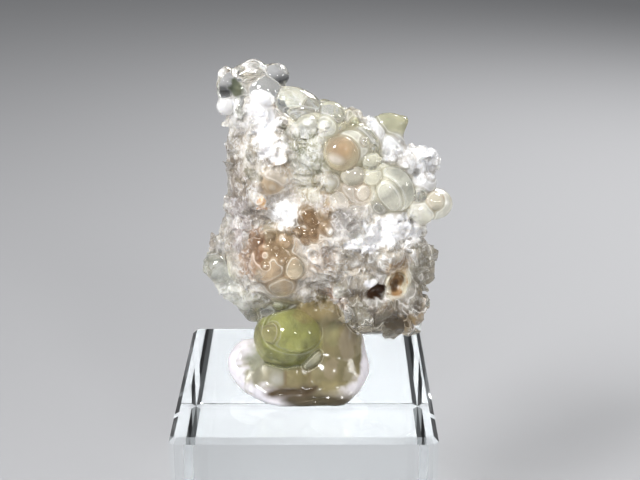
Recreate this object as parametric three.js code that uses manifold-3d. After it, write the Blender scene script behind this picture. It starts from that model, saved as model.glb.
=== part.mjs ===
// Hyalite opal: one natural piece of clear, drop-covered opal glass that stands on a narrow foot, on a solid clear
// acrylic cube. Millimetres, +Z up. The origin is the middle of the cube's underside, and the stone faces -Y.
import * as THREE from "three";
import { mergeVertices } from "three/addons/utils/BufferGeometryUtils.js";
import Module from "manifold-3d";

const wasm = await Module();
wasm.setup();

// Driving dimensions of the cube. The stone stands on its top.
const CUBE_SIDE = 25;
const CUBE_CHAMFER = 0.5;

// Each edge of an icosahedron is parted this many times, for the large lumps, the drops and the broken lumps.
const LUMP_DETAIL = 2;
const DROP_DETAIL = 1;
const BROKEN_DETAIL = 0;

// The stone's lumps, region by region. A line is a centre x, y, z and then either one radius or three, along x, y and
// z. Heights count from the foot's flat, which is the top of the cube.

// The mass that everything else grew on, from the neck up to the head
const TRUNK = [
  [-2.2, 0.2, 13.6, 5.8, 5.3, 5.2],
  [2.4, 0.2, 16.2, 6.9, 5.7, 6.8],
  [6.4, 0.4, 13.4, 5.3, 4.9, 5.8],
  [-3.0, 0.4, 22.0, 4.2, 4.4, 6.2],
  [-4.7, 0.4, 28.0, 2.5, 2.8, 3.2],
  [1.4, 0.2, 24.0, 5.0, 4.6, 4.4],
  [6.9, 0.5, 20.4, 4.2, 4.2, 4.2],
  [7.2, 0.2, 9.8, 3.9, 4.2, 3.8],
];

// The foot: a spread base, the lip that turns up at its ends, and the neck that joins it to the trunk
const FOOT = [
  [-0.2, -0.8, 0.8, 5.7, 6.3, 1.7],
  [1.9, -1.9, 1.5, 4.4, 4.9, 2.4],
  [2.7, -0.4, 4.0, 3.1, 3.7, 4.2],
  [1.4, 0.2, 6.8, 3.4, 3.6, 3.4],
  [-2.8, -0.4, 9.0, 2.8, 2.8, 2.4],
];
const LIP = [
  [-6.0, -0.8, 2.5, 1.7, 1.9, 1.5],
  [-4.9, -2.3, 1.9, 1.7, 1.9, 1.4],
  [-3.4, -4.0, 1.1, 2.0, 1.8, 1.3],
  [5.4, -0.4, 1.9, 1.2, 2.4, 2.4],
];

// The domes that show best: two green ones, one grown over the other, the honey one on its ring, and the grey one
const DOMES = [
  [-1.6, -2.3, 5.7, 3.4, 3.1, 3.2],
  [-1.2, -3.2, 6.1, 2.8, 2.5, 2.6],
  [4.4, -2.6, 24.8, 2.7, 2.5, 2.6],
  [3.4, -3.8, 25.4, 2.0, 1.8, 1.9],
  [8.5, -3.6, 21.0, 2.0, 1.6, 2.0],
];

// Clear drops of the head at the top left, and of the shoulder that slopes down from it
const HEAD = [
  [-7.0, -0.8, 30.7, 1.2, 1.4, 1.4],
  [-7.1, -0.8, 28.6, 1.1, 1.2, 1.0],
  [-4.9, -0.3, 31.4, 1.5],
  [-2.6, -0.3, 31.1, 1.3],
  [-5.3, -1.7, 29.8, 1.6],
  [-3.5, -1.7, 30.0, 1.4],
];
const SHOULDER = [
  [-0.6, -1.2, 29.1, 2.5, 1.8, 1.7],
  [-0.2, -3.0, 27.2, 1.9, 1.6, 1.8],
  [2.4, -1.4, 27.9, 1.4, 1.6, 1.3],
  [2.1, -3.2, 26.8, 1.3],
  [4.2, -0.9, 26.9, 1.4],
];

// Milky lobes that stand out at the right
const RIGHT_LOBES = [
  [6.1, -0.6, 25.7, 1.7],
  [8.2, 0.0, 26.2, 1.5, 1.6, 1.4],
  [7.9, -0.6, 24.2, 1.6, 1.8, 2.0],
  [10.9, 0.2, 22.9, 1.8, 1.8, 1.7],
  [11.0, -0.6, 21.1, 1.6],
  [12.4, -0.8, 18.9, 1.8, 1.7, 1.6],
  [10.9, -1.6, 18.6, 1.7],
];

// The left edge, and the clear lobes that hang at its lower end
const LEFT_EDGE = [
  [-6.4, -0.4, 25.2, 1.3],
  [-6.1, -0.3, 21.6, 1.4, 1.5, 2.2],
  [-6.4, -0.6, 18.6, 1.3],
  [-6.5, 0.0, 15.8, 1.7, 2.0, 2.0],
  [-8.0, -0.8, 12.5, 1.9, 2.0, 1.7],
  [-6.7, -1.4, 10.6, 2.0, 2.0, 1.6],
  [-5.3, -1.9, 8.4, 1.4],
];

// Drops that sit on the front of the trunk. A line is x, z, a radius, and how far the drop stands out, as a share
// of its radius.
const FRONT_DROPS = [
  [6.1, 23.6, 1.3, 0.7],
  [6.2, 21.6, 1.4, 0.5],
  [2.6, 22.6, 1.8, 0.5],
  [4.3, 21.2, 2.1, 0.5],
  [0.6, 24.6, 1.6, 0.5],
  [-1.6, 26.4, 1.3, 0.5],
  [0.6, 20.2, 1.3, 0.6],
  [-1.9, 18.6, 1.8, 0.4],
  [-0.9, 16.6, 1.4, 0.6],
  [-3.0, 16.4, 1.3, 0.6],
  [-3.3, 13.6, 2.7, 0.3],
  [-1.2, 13.8, 1.8, 0.5],
  [2.0, 14.6, 2.1, 0.4],
  [4.8, 17.0, 2.0, 0.35],
  [8.0, 17.2, 2.0, 0.4],
  [-4.2, 20.4, 1.8, 0.4],
  [-4.6, 24.4, 2.0, 0.35],
  [-2.4, 22.6, 1.9, 0.3],
  [0.4, 11.0, 2.0, 0.4],
  [-3.6, 10.4, 1.7, 0.5],
];

// The broken lower right, in flat faces
const BROKEN = [
  [7.3, -3.8, 14.9, 2.5, 2.0, 2.2],
  [10.4, -1.7, 14.2, 2.1, 2.4, 2.1],
  [10.8, -0.3, 11.6, 1.8, 2.4, 2.0],
  [5.4, -3.6, 9.6, 2.6, 2.2, 2.4],
  [9.3, -2.9, 10.2, 2.4, 2.1, 2.4],
  [5.0, -4.5, 12.4, 1.9, 1.5, 1.8],
  [10.2, -1.4, 7.4, 1.6, 2.0, 1.8],
  [6.4, -1.6, 7.4, 2.8, 2.4, 1.8],
  [10.5, -1.0, 16.8, 1.9, 2.2, 1.8],
];

// The hollows of the broken part: the dark pit and the oval one beside it
const PITS = [
  [7.0, -5.9, 11.8, 1.2, 1.6, 0.9],
  [8.8, -5.5, 12.4, 0.9, 1.7, 1.3],
];

// Drops over the back, where the stone is grown over in the same way
const BACK_SEED = 7;
const BACK_DROPS_PER_LUMP = 10;
const BACK_RADII = [1.3, 2.6];
const BACK_RISE = 0.45;
const BACK_FROM = 1.0; // how far back, on y, the first of them lie
const GOLDEN_ANGLE = Math.PI * (3 - Math.sqrt(5));

// Side of a block, larger than the stone, that keeps only what lies above the foot's flat
const ROOM = 80;

// Corners nearer together than this are one corner
const WELD = 1e-4;

function solidFrom(geometry) {
  const bare = geometry.clone();
  bare.deleteAttribute("normal");
  bare.deleteAttribute("uv");
  const merged = mergeVertices(bare, WELD);
  return new wasm.Manifold(
    new wasm.Mesh({
      numProp: 3,
      vertProperties: merged.attributes.position.array,
      triVerts: new Uint32Array(merged.index.array),
    }),
  );
}

function geometryFrom(solid) {
  const mesh = solid.getMesh();
  const geometry = new THREE.BufferGeometry();
  geometry.setAttribute("position", new THREE.BufferAttribute(mesh.vertProperties, 3));
  geometry.setIndex(new THREE.BufferAttribute(mesh.triVerts, 1));
  geometry.computeVertexNormals();
  return geometry;
}

function lump([x, y, z, rx, ry = rx, rz = rx], detail) {
  const ball = new THREE.IcosahedronGeometry(1, detail);
  ball.rotateX(x + z).rotateZ(y + z); // so that no two lumps have their corners the same way round
  ball.scale(rx, ry, rz).translate(x, y, z);
  return solidFrom(ball);
}

function lumps(list, detail) {
  return list.map((entry) => lump(entry, detail));
}

// A repeatable source of numbers from 0 to 1
function seededRandom(seed) {
  let state = seed;
  return () => {
    state = (Math.imul(state, 1664525) + 1013904223) >>> 0;
    return state / 4294967296;
  };
}

// How far forward the trunk comes at x, z
function trunkFront(x, z) {
  const fronts = TRUNK.map(([cx, cy, cz, rx, ry, rz]) => {
    const left = 1 - ((x - cx) / rx) ** 2 - ((z - cz) / rz) ** 2;
    return left > 0 ? cy - ry * Math.sqrt(left) : Infinity;
  });
  return Math.min(...fronts);
}

function frontDrop([x, z, radius, rise]) {
  return [x, trunkFront(x, z) + radius * (1 - rise), z, radius];
}

// Drops on a spiral over each lump of the trunk, kept only where they lie on the outside of the back
function backDrops() {
  const random = seededRandom(BACK_SEED);
  const drops = [];
  TRUNK.forEach(([cx, cy, cz, rx, ry, rz], own) => {
    for (let i = 0; i < BACK_DROPS_PER_LUMP; i++) {
      const up = 1 - (2 * (i + 0.5)) / BACK_DROPS_PER_LUMP;
      const around = i * GOLDEN_ANGLE + own;
      const flat = Math.sqrt(1 - up * up);
      const radius = THREE.MathUtils.lerp(...BACK_RADII, random());
      const share = 1 - ((1 - BACK_RISE) * radius) / ry;
      const place = [
        cx + rx * share * flat * Math.cos(around),
        cy + ry * share * flat * Math.sin(around),
        cz + rz * share * up,
      ];
      const inside = TRUNK.some(([x, y, z, a, b, c], other) => {
        const away = Math.hypot((place[0] - x) / a, (place[1] - y) / b, (place[2] - z) / c);
        return other !== own && away < share;
      });
      if (!inside && place[1] > BACK_FROM) drops.push([...place, radius]);
    }
  });
  return drops;
}

function opal() {
  const drops = [...HEAD, ...SHOULDER, ...RIGHT_LOBES, ...LEFT_EDGE, ...FRONT_DROPS.map(frontDrop), ...backDrops()];
  const grown = wasm.Manifold.union([
    ...lumps([...TRUNK, ...FOOT, ...DOMES], LUMP_DETAIL),
    ...lumps([...LIP, ...drops], DROP_DETAIL),
    ...lumps(BROKEN, BROKEN_DETAIL),
  ]);
  const above = new THREE.BoxGeometry(ROOM, ROOM, ROOM).translate(0, 0, ROOM / 2);
  const pits = wasm.Manifold.union(lumps(PITS, DROP_DETAIL));
  const material = new THREE.MeshStandardMaterial({ color: 0xe6e4d2, roughness: 0.08, metalness: 0 });
  const mesh = new THREE.Mesh(geometryFrom(grown.subtract(pits).intersect(solidFrom(above))), material);
  mesh.name = "opal";
  mesh.position.z = CUBE_SIDE;
  return mesh;
}

// A square with its corners cut, extruded with a bevel, so that all twelve edges are chamfered
function displayCube() {
  const half = CUBE_SIDE / 2 - CUBE_CHAMFER;
  const inner = half - CUBE_CHAMFER * (Math.SQRT2 - 1); // the bevel widens this cut to a full chamfer
  const outline = new THREE.Shape([
    new THREE.Vector2(half, -inner),
    new THREE.Vector2(half, inner),
    new THREE.Vector2(inner, half),
    new THREE.Vector2(-inner, half),
    new THREE.Vector2(-half, inner),
    new THREE.Vector2(-half, -inner),
    new THREE.Vector2(-inner, -half),
    new THREE.Vector2(inner, -half),
  ]);
  const geometry = new THREE.ExtrudeGeometry(outline, {
    depth: CUBE_SIDE - 2 * CUBE_CHAMFER,
    bevelEnabled: true,
    bevelThickness: CUBE_CHAMFER,
    bevelSize: CUBE_CHAMFER,
    bevelSegments: 1,
  });
  const material = new THREE.MeshStandardMaterial({ color: 0xdfe6ea, roughness: 0.03, metalness: 0 });
  const mesh = new THREE.Mesh(geometry, material);
  mesh.name = "display_cube";
  mesh.position.z = CUBE_CHAMFER;
  return mesh;
}

const part = new THREE.Group();
part.add(opal(), displayCube());

export default part;
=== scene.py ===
import math

import bpy
import numpy as np
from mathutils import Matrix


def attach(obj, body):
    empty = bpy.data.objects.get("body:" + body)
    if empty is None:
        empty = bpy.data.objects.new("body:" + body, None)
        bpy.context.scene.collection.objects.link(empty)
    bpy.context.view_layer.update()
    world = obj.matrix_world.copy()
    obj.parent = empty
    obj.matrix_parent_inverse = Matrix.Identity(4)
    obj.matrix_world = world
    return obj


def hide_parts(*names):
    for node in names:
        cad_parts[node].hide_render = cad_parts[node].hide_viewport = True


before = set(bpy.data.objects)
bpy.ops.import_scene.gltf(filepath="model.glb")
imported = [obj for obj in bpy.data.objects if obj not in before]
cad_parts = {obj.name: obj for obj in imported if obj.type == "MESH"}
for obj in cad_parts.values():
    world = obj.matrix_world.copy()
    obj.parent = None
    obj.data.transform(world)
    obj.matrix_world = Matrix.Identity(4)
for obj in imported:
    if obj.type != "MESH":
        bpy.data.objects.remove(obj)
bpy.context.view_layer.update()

# Lengths of the stone are millimetres, and heights count from the foot's flat, which lies on the cube.
MM = 0.001
CUBE_TOP = 25.0
GRID = 0.18  # spacing of the grid that the stone's surface is found on
COARSE_GRID = 0.5  # the same, for the first surface that small drops are set on
MILK_GRID = 0.34
SPECK = 20  # a loose part of a surface with fewer faces than this is left out
MIDDLE_PULL = 0.08  # how strongly a vertex is drawn to the middle of its cell's crossings
MEET = 0.06  # how softly two lumps run into each other
SOFT_MEET = 0.28  # the same, among the lumps of the trunk and of the foot
HEAD_MEET = 0.2
CUT_MEET = 0.1
MILK_MEET = 0.35
SPREAD = 0.12  # how softly one lump's colour runs into the next
MILK_SPREAD = 0.5
SHARP = 40  # a corner whose normal is turned this many degrees from its face's is sharp
MILK_SHARP = 60
TINY = 1e-9  # keeps a length from being nought
NO_WEIGHT = 1e-12  # the same for an area or a sum of weights
LEAST = 1e-30  # and for what a logarithm is taken of

# Looks of the glass: colour, milkiness (0 clear glass, 1 porcelain) and roughness
CLEAR = (0.97, 0.97, 0.96, 0, 0.02)
MISTY = (0.86, 0.87, 0.82, 0.12, 0.04)
HAZY = (0.87, 0.83, 0.77, 0.15, 0.04)
OLIVE = (0.87, 0.865, 0.78, 0.08, 0.03)
OLIVE_MIST = (0.6, 0.59, 0.43, 0.35, 0.06)
GREEN = (0.57, 0.58, 0.31, 0.14, 0.03)
HONEY = (0.87, 0.77, 0.61, 0.1, 0.03)
PEACH = (0.88, 0.79, 0.71, 0.15, 0.04)
TAN = (0.44, 0.385, 0.23, 0.34, 0.16)
GLAZE = (0.52, 0.5, 0.4, 0.4, 0.14)
PALE_GLAZE = (0.62, 0.61, 0.47, 0.4, 0.06)
PALE_OLIVE = (0.93, 0.92, 0.84, 0.2, 0.03)
MILKY_OLIVE = (0.95, 0.94, 0.87, 0.4, 0.03)
KHAKI = (0.66, 0.61, 0.45, 0.15, 0.03)
ICE = (0.94, 0.96, 0.95, 0.3, 0.03)
FROSTED = (0.96, 0.97, 0.95, 0.08, 0.02)
WHITE = (0.95, 0.95, 0.97, 0.55, 0.05)
CREAM = (0.82, 0.76, 0.57, 0.55, 0.1)
PORCELAIN = (0.97, 0.965, 0.985, 1, 0.08)
RIM_WHITE = (0.82, 0.79, 0.84, 0.92, 0.15)
ROUGH = (0.8, 0.78, 0.74, 0.15, 0.05)
AMBER = (0.68, 0.53, 0.35, 0.12, 0.03)
BROWN = (0.6, 0.47, 0.31, 0.3, 0.08)
SMOKE = (0.5, 0.46, 0.38, 0.2, 0.04)

# Each lump is a centre x, y, z, one radius or three, a turn in degrees seen from the front if any, and a look
TRUNK = [
    (-2.2, 0.2, 13.6, 5.8, 5.3, 5.2, HAZY),
    (2.4, 0.2, 16.2, 6.9, 5.7, 6.8, HAZY),
    (6.4, 0.4, 13.4, 5.3, 4.9, 5.8, ROUGH),
    (-3, 0.4, 22, 4.2, 4.4, 6.2, HAZY),
    (-4.7, 0.4, 28, 2.5, 2.8, 3.2, CLEAR),
    (1.4, 0.2, 24, 5, 4.6, 4.4, OLIVE),
    (6.9, 0.5, 20.4, 4.2, OLIVE),
    (7.2, 0.2, 9.8, 3.9, 4.2, 3.8, ROUGH),
]

FOOT = [
    (-0.3, -1, 1, 5.3, 4.5, 1.5, TAN),
    (-4.3, -2, 1.4, 2, 2.6, 1.3, GLAZE),
    (-4.9, -0.8, 2.9, 1.5, 1.2, 1.4, GLAZE),
    (-2.7, -3.4, 2.3, 1.3, 1.6, 1.5, GLAZE),
    (-0.9, -3.5, 2.3, 1.4, 1.7, 1.6, TAN),
    (2.5, -2.2, 2.3, 2.8, 3, 2.4, TAN),
    (3.8, -1.8, 2.6, 1.8, 2, 2.2, TAN),
    (3, -4, 0.9, 1.5, 1.6, 0.9, TAN),
    (4.4, -2.8, 1.9, 1.2, 1.6, 1.3, TAN),
    (3.2, -0.8, 4.2, 2.5, 3.1, 4, TAN),
    (1.4, 0.2, 6.8, 3.4, 3.6, 3.4, TAN),
    (2.2, -1.2, 8.6, 2.6, 2.6, 2, TAN),
    (-2.8, -0.4, 9, 2.8, 2.8, 2.4, OLIVE),
    (-1.6, -2.4, 5.6, 3.4, 3.1, 3, GREEN),
]

DOMES = [
    (-1.2, -3.6, 6.8, 2.7, 2.35, 2.1, 4, GREEN),
    (-3.1, -4.9, 7.35, 1, 0.9, 0.95, HONEY),
    (0.7, -4.1, 4.05, 1.15, 0.7, 0.62, -42, PALE_GLAZE),
    (4.4, -1.5, 24.3, 2.8, 2.3, 3, OLIVE),
    (5, -2.4, 25.1, 1.95, 1.1, 1.95, PALE_OLIVE),
    (4.3, -3.15, 25, 1.8, 1.05, 1.8, MILKY_OLIVE),
    (3.45, -3.9, 24.85, 1.65, 1.25, 1.62, HONEY),
    (5.6, -3.75, 25.95, 0.4, HAZY),
    (6.3, -3.2, 25.1, 0.3, 0.35, 0.3, CLEAR),
    (6.15, -3.3, 23.95, 0.9, 0.95, 0.85, OLIVE),
    (6.2, -3.3, 22.55, 0.95, 0.95, 0.85, OLIVE),
    (4.5, -3.6, 22.7, 1.15, 1, 1.05, HAZY),
    (2.2, -3.6, 22.2, 1.2, 1.1, 1.2, HAZY),
    (2.3, -4.2, 22.1, 0.7, ICE),
    (4.75, -3.2, 20.9, 1.45, 1.2, 1.3, PEACH),
    (5.35, -3.9, 21.1, 0.75, PEACH),
    (8.3, -2.6, 21, 1.9, 1.4, 2.25, -28, MISTY),
    (8, -3.1, 20.8, 1.25, 1.3, 1.8, -28, PALE_OLIVE),
]

HEAD = [
    (-4.9, -0.4, 30.1, 2.3, 1.6, 1.7, CLEAR),
    (-7.1, -0.8, 30.5, 0.95, 1.2, 1.4, 12, CLEAR),
    (-7.3, -0.8, 31.6, 0.35, 0.6, 0.6, 20, CLEAR),
    (-7.1, -0.8, 28.6, 1.05, 1.2, 0.9, -20, WHITE),
    (-5.6, -0.5, 31.2, 1, 1.2, 1.1, CLEAR),
    (-4.6, -0.5, 31.6, 1.2, 1.3, 1.25, CLEAR),
    (-2.6, -0.3, 31.2, 1.3, 1.3, 1.25, CLEAR),
    (-3.5, -1.4, 30, 1.4, 1.2, 1.3, CLEAR),
    (-5.8, -1.8, 28.4, 0.6, 0.8, 1.05, CLEAR),
]

CORNER = [
    (8.2, -0.3, 26.4, 1.1, 1.2, 1.25, OLIVE_MIST),
    (9, -0.5, 26.85, 0.7, 0.8, 0.5, -30, OLIVE_MIST),
    (9, -0.4, 26.1, 0.7, 0.9, 1, 10, OLIVE_MIST),
    (7.5, -0.4, 26.9, 0.9, 1, 0.7, OLIVE_MIST),
    (8.3, -0.5, 25, 1.2, 1.3, 1.2, WHITE),
]

SHOULDER = [
    (-0.5, -1.2, 28.8, 2.6, 1.7, 1.45, 25, FROSTED),
    (0, -2, 28.1, 1.9, 1.2, 0.9, 22, FROSTED),
    (0.2, -2.8, 27, 1, 1.4, 1.35, 20, ICE),
    (-1.9, -2.5, 27.4, 0.5, 0.7, 0.5, CLEAR),
    (-1.1, -3, 26.7, 0.6, 0.8, 0.6, CLEAR),
    (-1.5, -2.9, 26, 0.5, 0.8, 0.6, OLIVE),
    (2.5, -1.3, 27.8, 1.4, 1.5, 1.25, 20, FROSTED),
    (2.1, -2.7, 26.9, 0.9, 1.1, 1.2, -20, ICE),
    (4.2, -0.9, 26.9, 1.4, 1.4, 1.3, HAZY),
    (4.7, -1.9, 27.3, 0.4, 0.5, 0.4, GREEN),
]

RIGHT_LOBES = [
    (6.1, -0.6, 25.7, 1.7, WHITE),
    (8.9, -0.6, 23.6, 1.3, 1.5, 1.1, WHITE),
    (9.3, -0.9, 22.9, 1.5, 1.4, 1.3, WHITE),
    (7.9, -0.6, 24.2, 1.6, 1.8, 2, WHITE),
    (10.9, 0, 22.9, 1.8, 1.8, 1.7, WHITE),
    (11, -0.6, 21.1, 1.6, WHITE),
    (12.3, -0.7, 18.9, 1.85, 1.6, 1.55, MILKY_OLIVE),
    (12.2, -1.6, 19.5, 1, 1.2, 0.9, HONEY),
    (10.9, -1.5, 18.6, 1.6, 1.6, 1.5, MILKY_OLIVE),
    (10.7, -1.5, 20.2, 1, 1.3, 1, CLEAR),
]

LEFT_EDGE = [
    (-6, -0.4, 25.2, 1.2, 1.2, 1.3, ROUGH),
    (-5.8, -0.3, 23.4, 1.2, 1.4, 2, ROUGH),
    (-5.8, -0.3, 21.2, 1.3, 1.4, 2.2, ROUGH),
    (-6.4, -0.6, 18.6, 1.2, CLEAR),
    (-6.4, 0, 15.8, 1.7, 2, 2.2, ROUGH),
]

LOWER_LEFT = [
    (-7.1, -0.6, 14.2, 1.4, 1.4, 1.9, -25, CLEAR),
    (-8, -0.8, 12.6, 1.85, 1.8, 1.6, MISTY),
    (-7.4, -1, 11.4, 1.6, 1.6, 1.4, 20, MISTY),
    (-6.6, -1.4, 10.5, 1.8, 1.8, 1.4, 20, MISTY),
    (-5.4, -1.8, 9.2, 1.3, 1.4, 1.2, 20, MISTY),
    (-5, -1.8, 8.1, 0.9, 1, 0.9, MISTY),
    (-4.4, -2.6, 10.4, 1.4, OLIVE),
]

# Drops on the front of the trunk: x, z, radius, the share of it that stands out, and a look
FRONT_DROPS = [
    (0.7, 24.4, 1.4, 0.35, ICE),
    (-1, 25.3, 0.9, 0.4, HAZY),
    (1.7, 22.6, 0.8, 0.5, CLEAR),
    (2.6, 21.4, 1, 0.45, CLEAR),
    (3.1, 20, 1.2, 0.4, HAZY),
    (7, 19.6, 0.8, 0.5, CLEAR),
    (1.2, 20.6, 0.9, 0.4, CLEAR),
    (2.6, 20, 0.45, 0.6, HONEY),
    (-3.9, 14.4, 0.5, 0.7, HONEY),
    (-4.6, 16.4, 0.9, 0.4, PEACH),
    (-3, 14.2, 2.6, 0.26, HONEY),
    (-1.1, 14, 1.25, 0.5, KHAKI),
    (-2.2, 12.6, 1.7, 0.3, HONEY),
    (1.6, 14.8, 1.3, 0.2, PEACH),
    (3.2, 13.4, 1.2, 0.3, HAZY),
    (4.8, 17, 1.6, 0.35, CLEAR),
    (7.8, 17.1, 2.7, 0.28, WHITE),
    (-1.9, 18.9, 1.7, 0.2, WHITE),
    (-4.2, 20.4, 1.5, 0.3, HAZY),
    (-2.6, 22.6, 1.6, 0.3, HAZY),
    (0.2, 11.2, 1.4, 0.4, HAZY),
    (-2.5, 9.6, 0.6, 0.9, GREEN),
    (-1.9, 9.5, 0.4, 0.9, GREEN),
]

# Drops with a smaller one standing on each, which show as rings, given in the same way
RINGED_DROPS = [
    (0.32, 19.2, 0.8, 0.55, AMBER),
    (0.86, 18.4, 0.45, 0.7, AMBER),
    (0.86, 17.55, 0.4, 0.7, AMBER),
    (-0.45, 17.45, 0.45, 0.65, AMBER),
    (2.04, 19.2, 0.6, 0.5, AMBER),
    (2.1, 17.9, 0.45, 0.6, AMBER),
    (0.1, 16.7, 0.4, 0.7, AMBER),
    (-1.28, 17.4, 0.4, 0.6, HONEY),
    (-1.64, 16.45, 0.8, 0.55, HONEY),
    (-3.36, 16.8, 1.1, 0.5, KHAKI),
    (-2.77, 15.4, 0.75, 0.6, AMBER),
    (-3.9, 15.4, 0.55, 0.55, HONEY),
    (-2, 15.1, 0.45, 0.6, HONEY),
    (-3, 21.9, 1, 0.35, HONEY),
]

# Lumps of the broken lower right
BROKEN = [
    (7.3, -3.4, 14.9, 2.2, 1.7, 1.9, ROUGH),
    (10.1, -1.7, 14.2, 1.8, 2.1, 1.9, ROUGH),
    (10.2, -0.3, 11.6, 1.6, 2.2, 1.8, ROUGH),
    (5.4, -3.6, 9.6, 2.2, 1.9, 2.1, ROUGH),
    (9.3, -2.9, 10.2, 2.1, 1.8, 2.1, ROUGH),
    (5, -4.5, 12.4, 1.6, 1.3, 1.5, ROUGH),
    (9.35, -1.4, 7.6, 1.55, 1.8, 1.6, HONEY),
    (6.4, -1.6, 7.4, 2.4, 2.1, 1.5, ROUGH),
    (10.2, -1, 16.8, 1.5, 1.9, 1.5, ROUGH),
    (8.8, -3.7, 12.1, 1.25, 1.4, 1.7, 12, CREAM),
    (6, -4.5, 12.5, 0.9, 0.8, 0.5, WHITE),
    (5.2, -4.9, 10.9, 1.1, 0.9, 1, ROUGH),
    (7.4, -4, 9.6, 1.2, 1.1, 1.1, ROUGH),
]

# The foot's rim, as a chain of beads from the left round the front: x, y, z, radius and how white it is
RIM = [
    (-4.9, -0.8, 4.1, 0.2, 0.2),
    (-6.1, -0.9, 3.8, 0.3, 0.9),
    (-6.8, -1.4, 2.9, 0.4, 1),
    (-6.6, -1.9, 1.9, 0.45, 1),
    (-5.7, -3, 1.2, 0.45, 1),
    (-4.6, -4.1, 0.9, 0.45, 1),
    (-3.4, -5, 0.6, 0.35, 1),
    (-2, -5.6, 0.35, 0.2, 0.8),
    (0.4, -5.8, 0.25, 0.1, 0.1),
    (3.5, -5.7, 0.3, 0.15, 0.3),
    (4.8, -4.2, 1, 0.25, 0.9),
    (5.7, -2.6, 2.1, 0.3, 1),
    (5.5, -1.6, 3.2, 0.25, 1),
    (4.9, -0.5, 5, 0.2, 0.4),
]
RIM_BEADS = 6  # beads from one point of the chain to the next
CAP_SIZE = 0.55  # the radius of the small drop on a ringed one, and
CAP_SHIFT = (0.1, -0.6, -0.05)  # where its middle lies, both against the radius of the drop below

# What is cut away: the dark pit, the oval cavity beside it, the lip's hollow, the two parts of the groove
# over the front rim, the pocket in the head, and the notch beside the olive corner
PITS = [
    (7.05, -6, 11.5, 1.2, 2.2, 0.78),
    (8.8, -5.6, 12.1, 1, 2.2, 1.5, 12),
    (-5.3, -2.9, 3, 0.7, 1, 0.45, 25),
    (-1.5, -6.6, 1.15, 2.4, 1.4, 0.7, -3),
    (0.9, -6.3, 1.45, 1.2, 1, 0.4, -25),
    (-5.9, -3.1, 30.9, 0.7, 1.6, 0.6, 20),
    (10.6, -0.3, 25.75, 1.3, 3, 1.25),
]

# Smooth places, free of crust and small drops: centre x, y, z and radius
BARE = [
    (-1.4, -3, 6, 4),
    (4.6, -3.6, 25, 2.6),
    (4.6, -3.8, 22, 2.3),
    (8.2, -3, 20.9, 2.3),
    (-0.6, -1.4, 29, 2.5),
    (2.5, -1.6, 28.1, 1.9),
    (-4.8, -0.8, 30.7, 2.7),
    (-7.2, -0.8, 29.6, 1.8),
    (-2.6, -0.4, 31, 1.8),
    (12.2, -1, 19.2, 2.4),
    (8.2, -0.6, 26.2, 1.8),
    (0.4, -5.2, 18.8, 1),
    (-1.7, -4.8, 16.2, 1),
    (-2.7, -5.2, 15.2, 1),
    (-1, -5.4, 13.8, 1.5),
    (-2.2, -5.2, 12.4, 1.8),
    (-8.2, -1.6, 12.8, 1.5),
    (-2.2, -4, 9.6, 1),
    (0.9, -4.6, 17.9, 1.6),
    (-2.9, -4.8, 15.6, 1.9),
    (-3, -4.6, 21.9, 1.1),
]

# The broken part: its left edge, which slants below a knee, its top, which falls to the right, foot and back
BROKEN_LEFT = 3.4
BROKEN_SLANT = 0.8
BROKEN_KNEE = 9.5
BROKEN_TOP = 16.2
BROKEN_FALL = 0.1
BROKEN_START = 4
BROKEN_FOOT = 5.6
BROKEN_BACK = 2.5
BROKEN_FADE = 0.8

# The worn column below the head, in the same way
WORN_RIGHT = -3.6
WORN_TOP = 27.0
WORN_FOOT = 13.5
WORN_BACK = 1.5
WORN_FADE = 1.0

CRUST_FOOT = 8.5  # the crust starts at this height
CRUST_FADE = 1.5
BARE_FADE = 0.5
BACK_START = 0.5  # the back begins here, on y
BACK_SMOOTHNESS = 0.9  # how much less crust its smooth patches have
BACK_PATCH_FADE = (-0.25, 0.3)


def fade(values, start, width):
    """How far values have come past a start, as a share of a width, held from 0 to 1"""
    return np.clip((values - start) / width, 0, 1)


def place(line):
    """A table's line as seven numbers: centre, three radii, and the turn in radians"""
    numbers = [value for value in line[:7] if not isinstance(value, tuple)]
    if len(numbers) == 4:
        numbers += numbers[3:] * 2
    return [*numbers[:6], math.radians(sum(numbers[6:]))]


def rows(table):
    """A table's lines as one array: the seven numbers of each place, then those of its look"""
    return np.array([[*place(line), *line[-1]] for line in table])


def trunk_front(x, z):
    """How far forward the trunk comes at x, z"""
    fronts = []
    for line in TRUNK:
        cx, cy, cz, rx, ry, rz, _ = place(line)
        left = 1 - ((x - cx) / rx) ** 2 - ((z - cz) / rz) ** 2
        if left > 0:
            fronts.append(cy - ry * math.sqrt(left))
    return min(fronts)


def seated(table):
    """Front drops as lumps"""
    return [(x, trunk_front(x, z) + r * (1 - rise), z, r, look) for x, z, r, rise, look in table]


def caps(table):
    """The smaller drops that stand on ringed drops, as lumps"""
    lumps = []
    for *middle, r, look in seated(table):
        top = [at + shift * r for at, shift in zip(middle, CAP_SHIFT)]
        lumps.append((*top, CAP_SIZE * r, look))
    return lumps


def rim_beads():
    """The chain of the rim: x, y, z, radius and how white it is, one line for each bead"""
    beads = []
    for start, end in zip(np.array(RIM), np.array(RIM[1:])):
        for k in range(RIM_BEADS):
            beads.append(start + (end - start) * k / RIM_BEADS)
    return np.array(beads)


def rim_lumps():
    return [(*bead[:4], TAN) for bead in rim_beads()]


def to_lump(points, lump):
    """Distance to a lump's surface, negative inside, and the direction away from it"""
    cos, sin = math.cos(lump[6]), math.sin(lump[6])
    away = points - lump[:3]
    x, y, z = away.T
    scaled = np.column_stack([x * cos - z * sin, y, x * sin + z * cos]) / lump[3:6]
    steep = scaled / lump[3:6]
    size = np.sqrt((scaled**2).sum(1)) + TINY
    rate = np.sqrt((steep**2).sum(1)) + TINY
    x, y, z = (steep / rate[:, None]).T
    return size * (size - 1) / rate, np.column_stack([x * cos + z * sin, y, -x * sin + z * cos])


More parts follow.
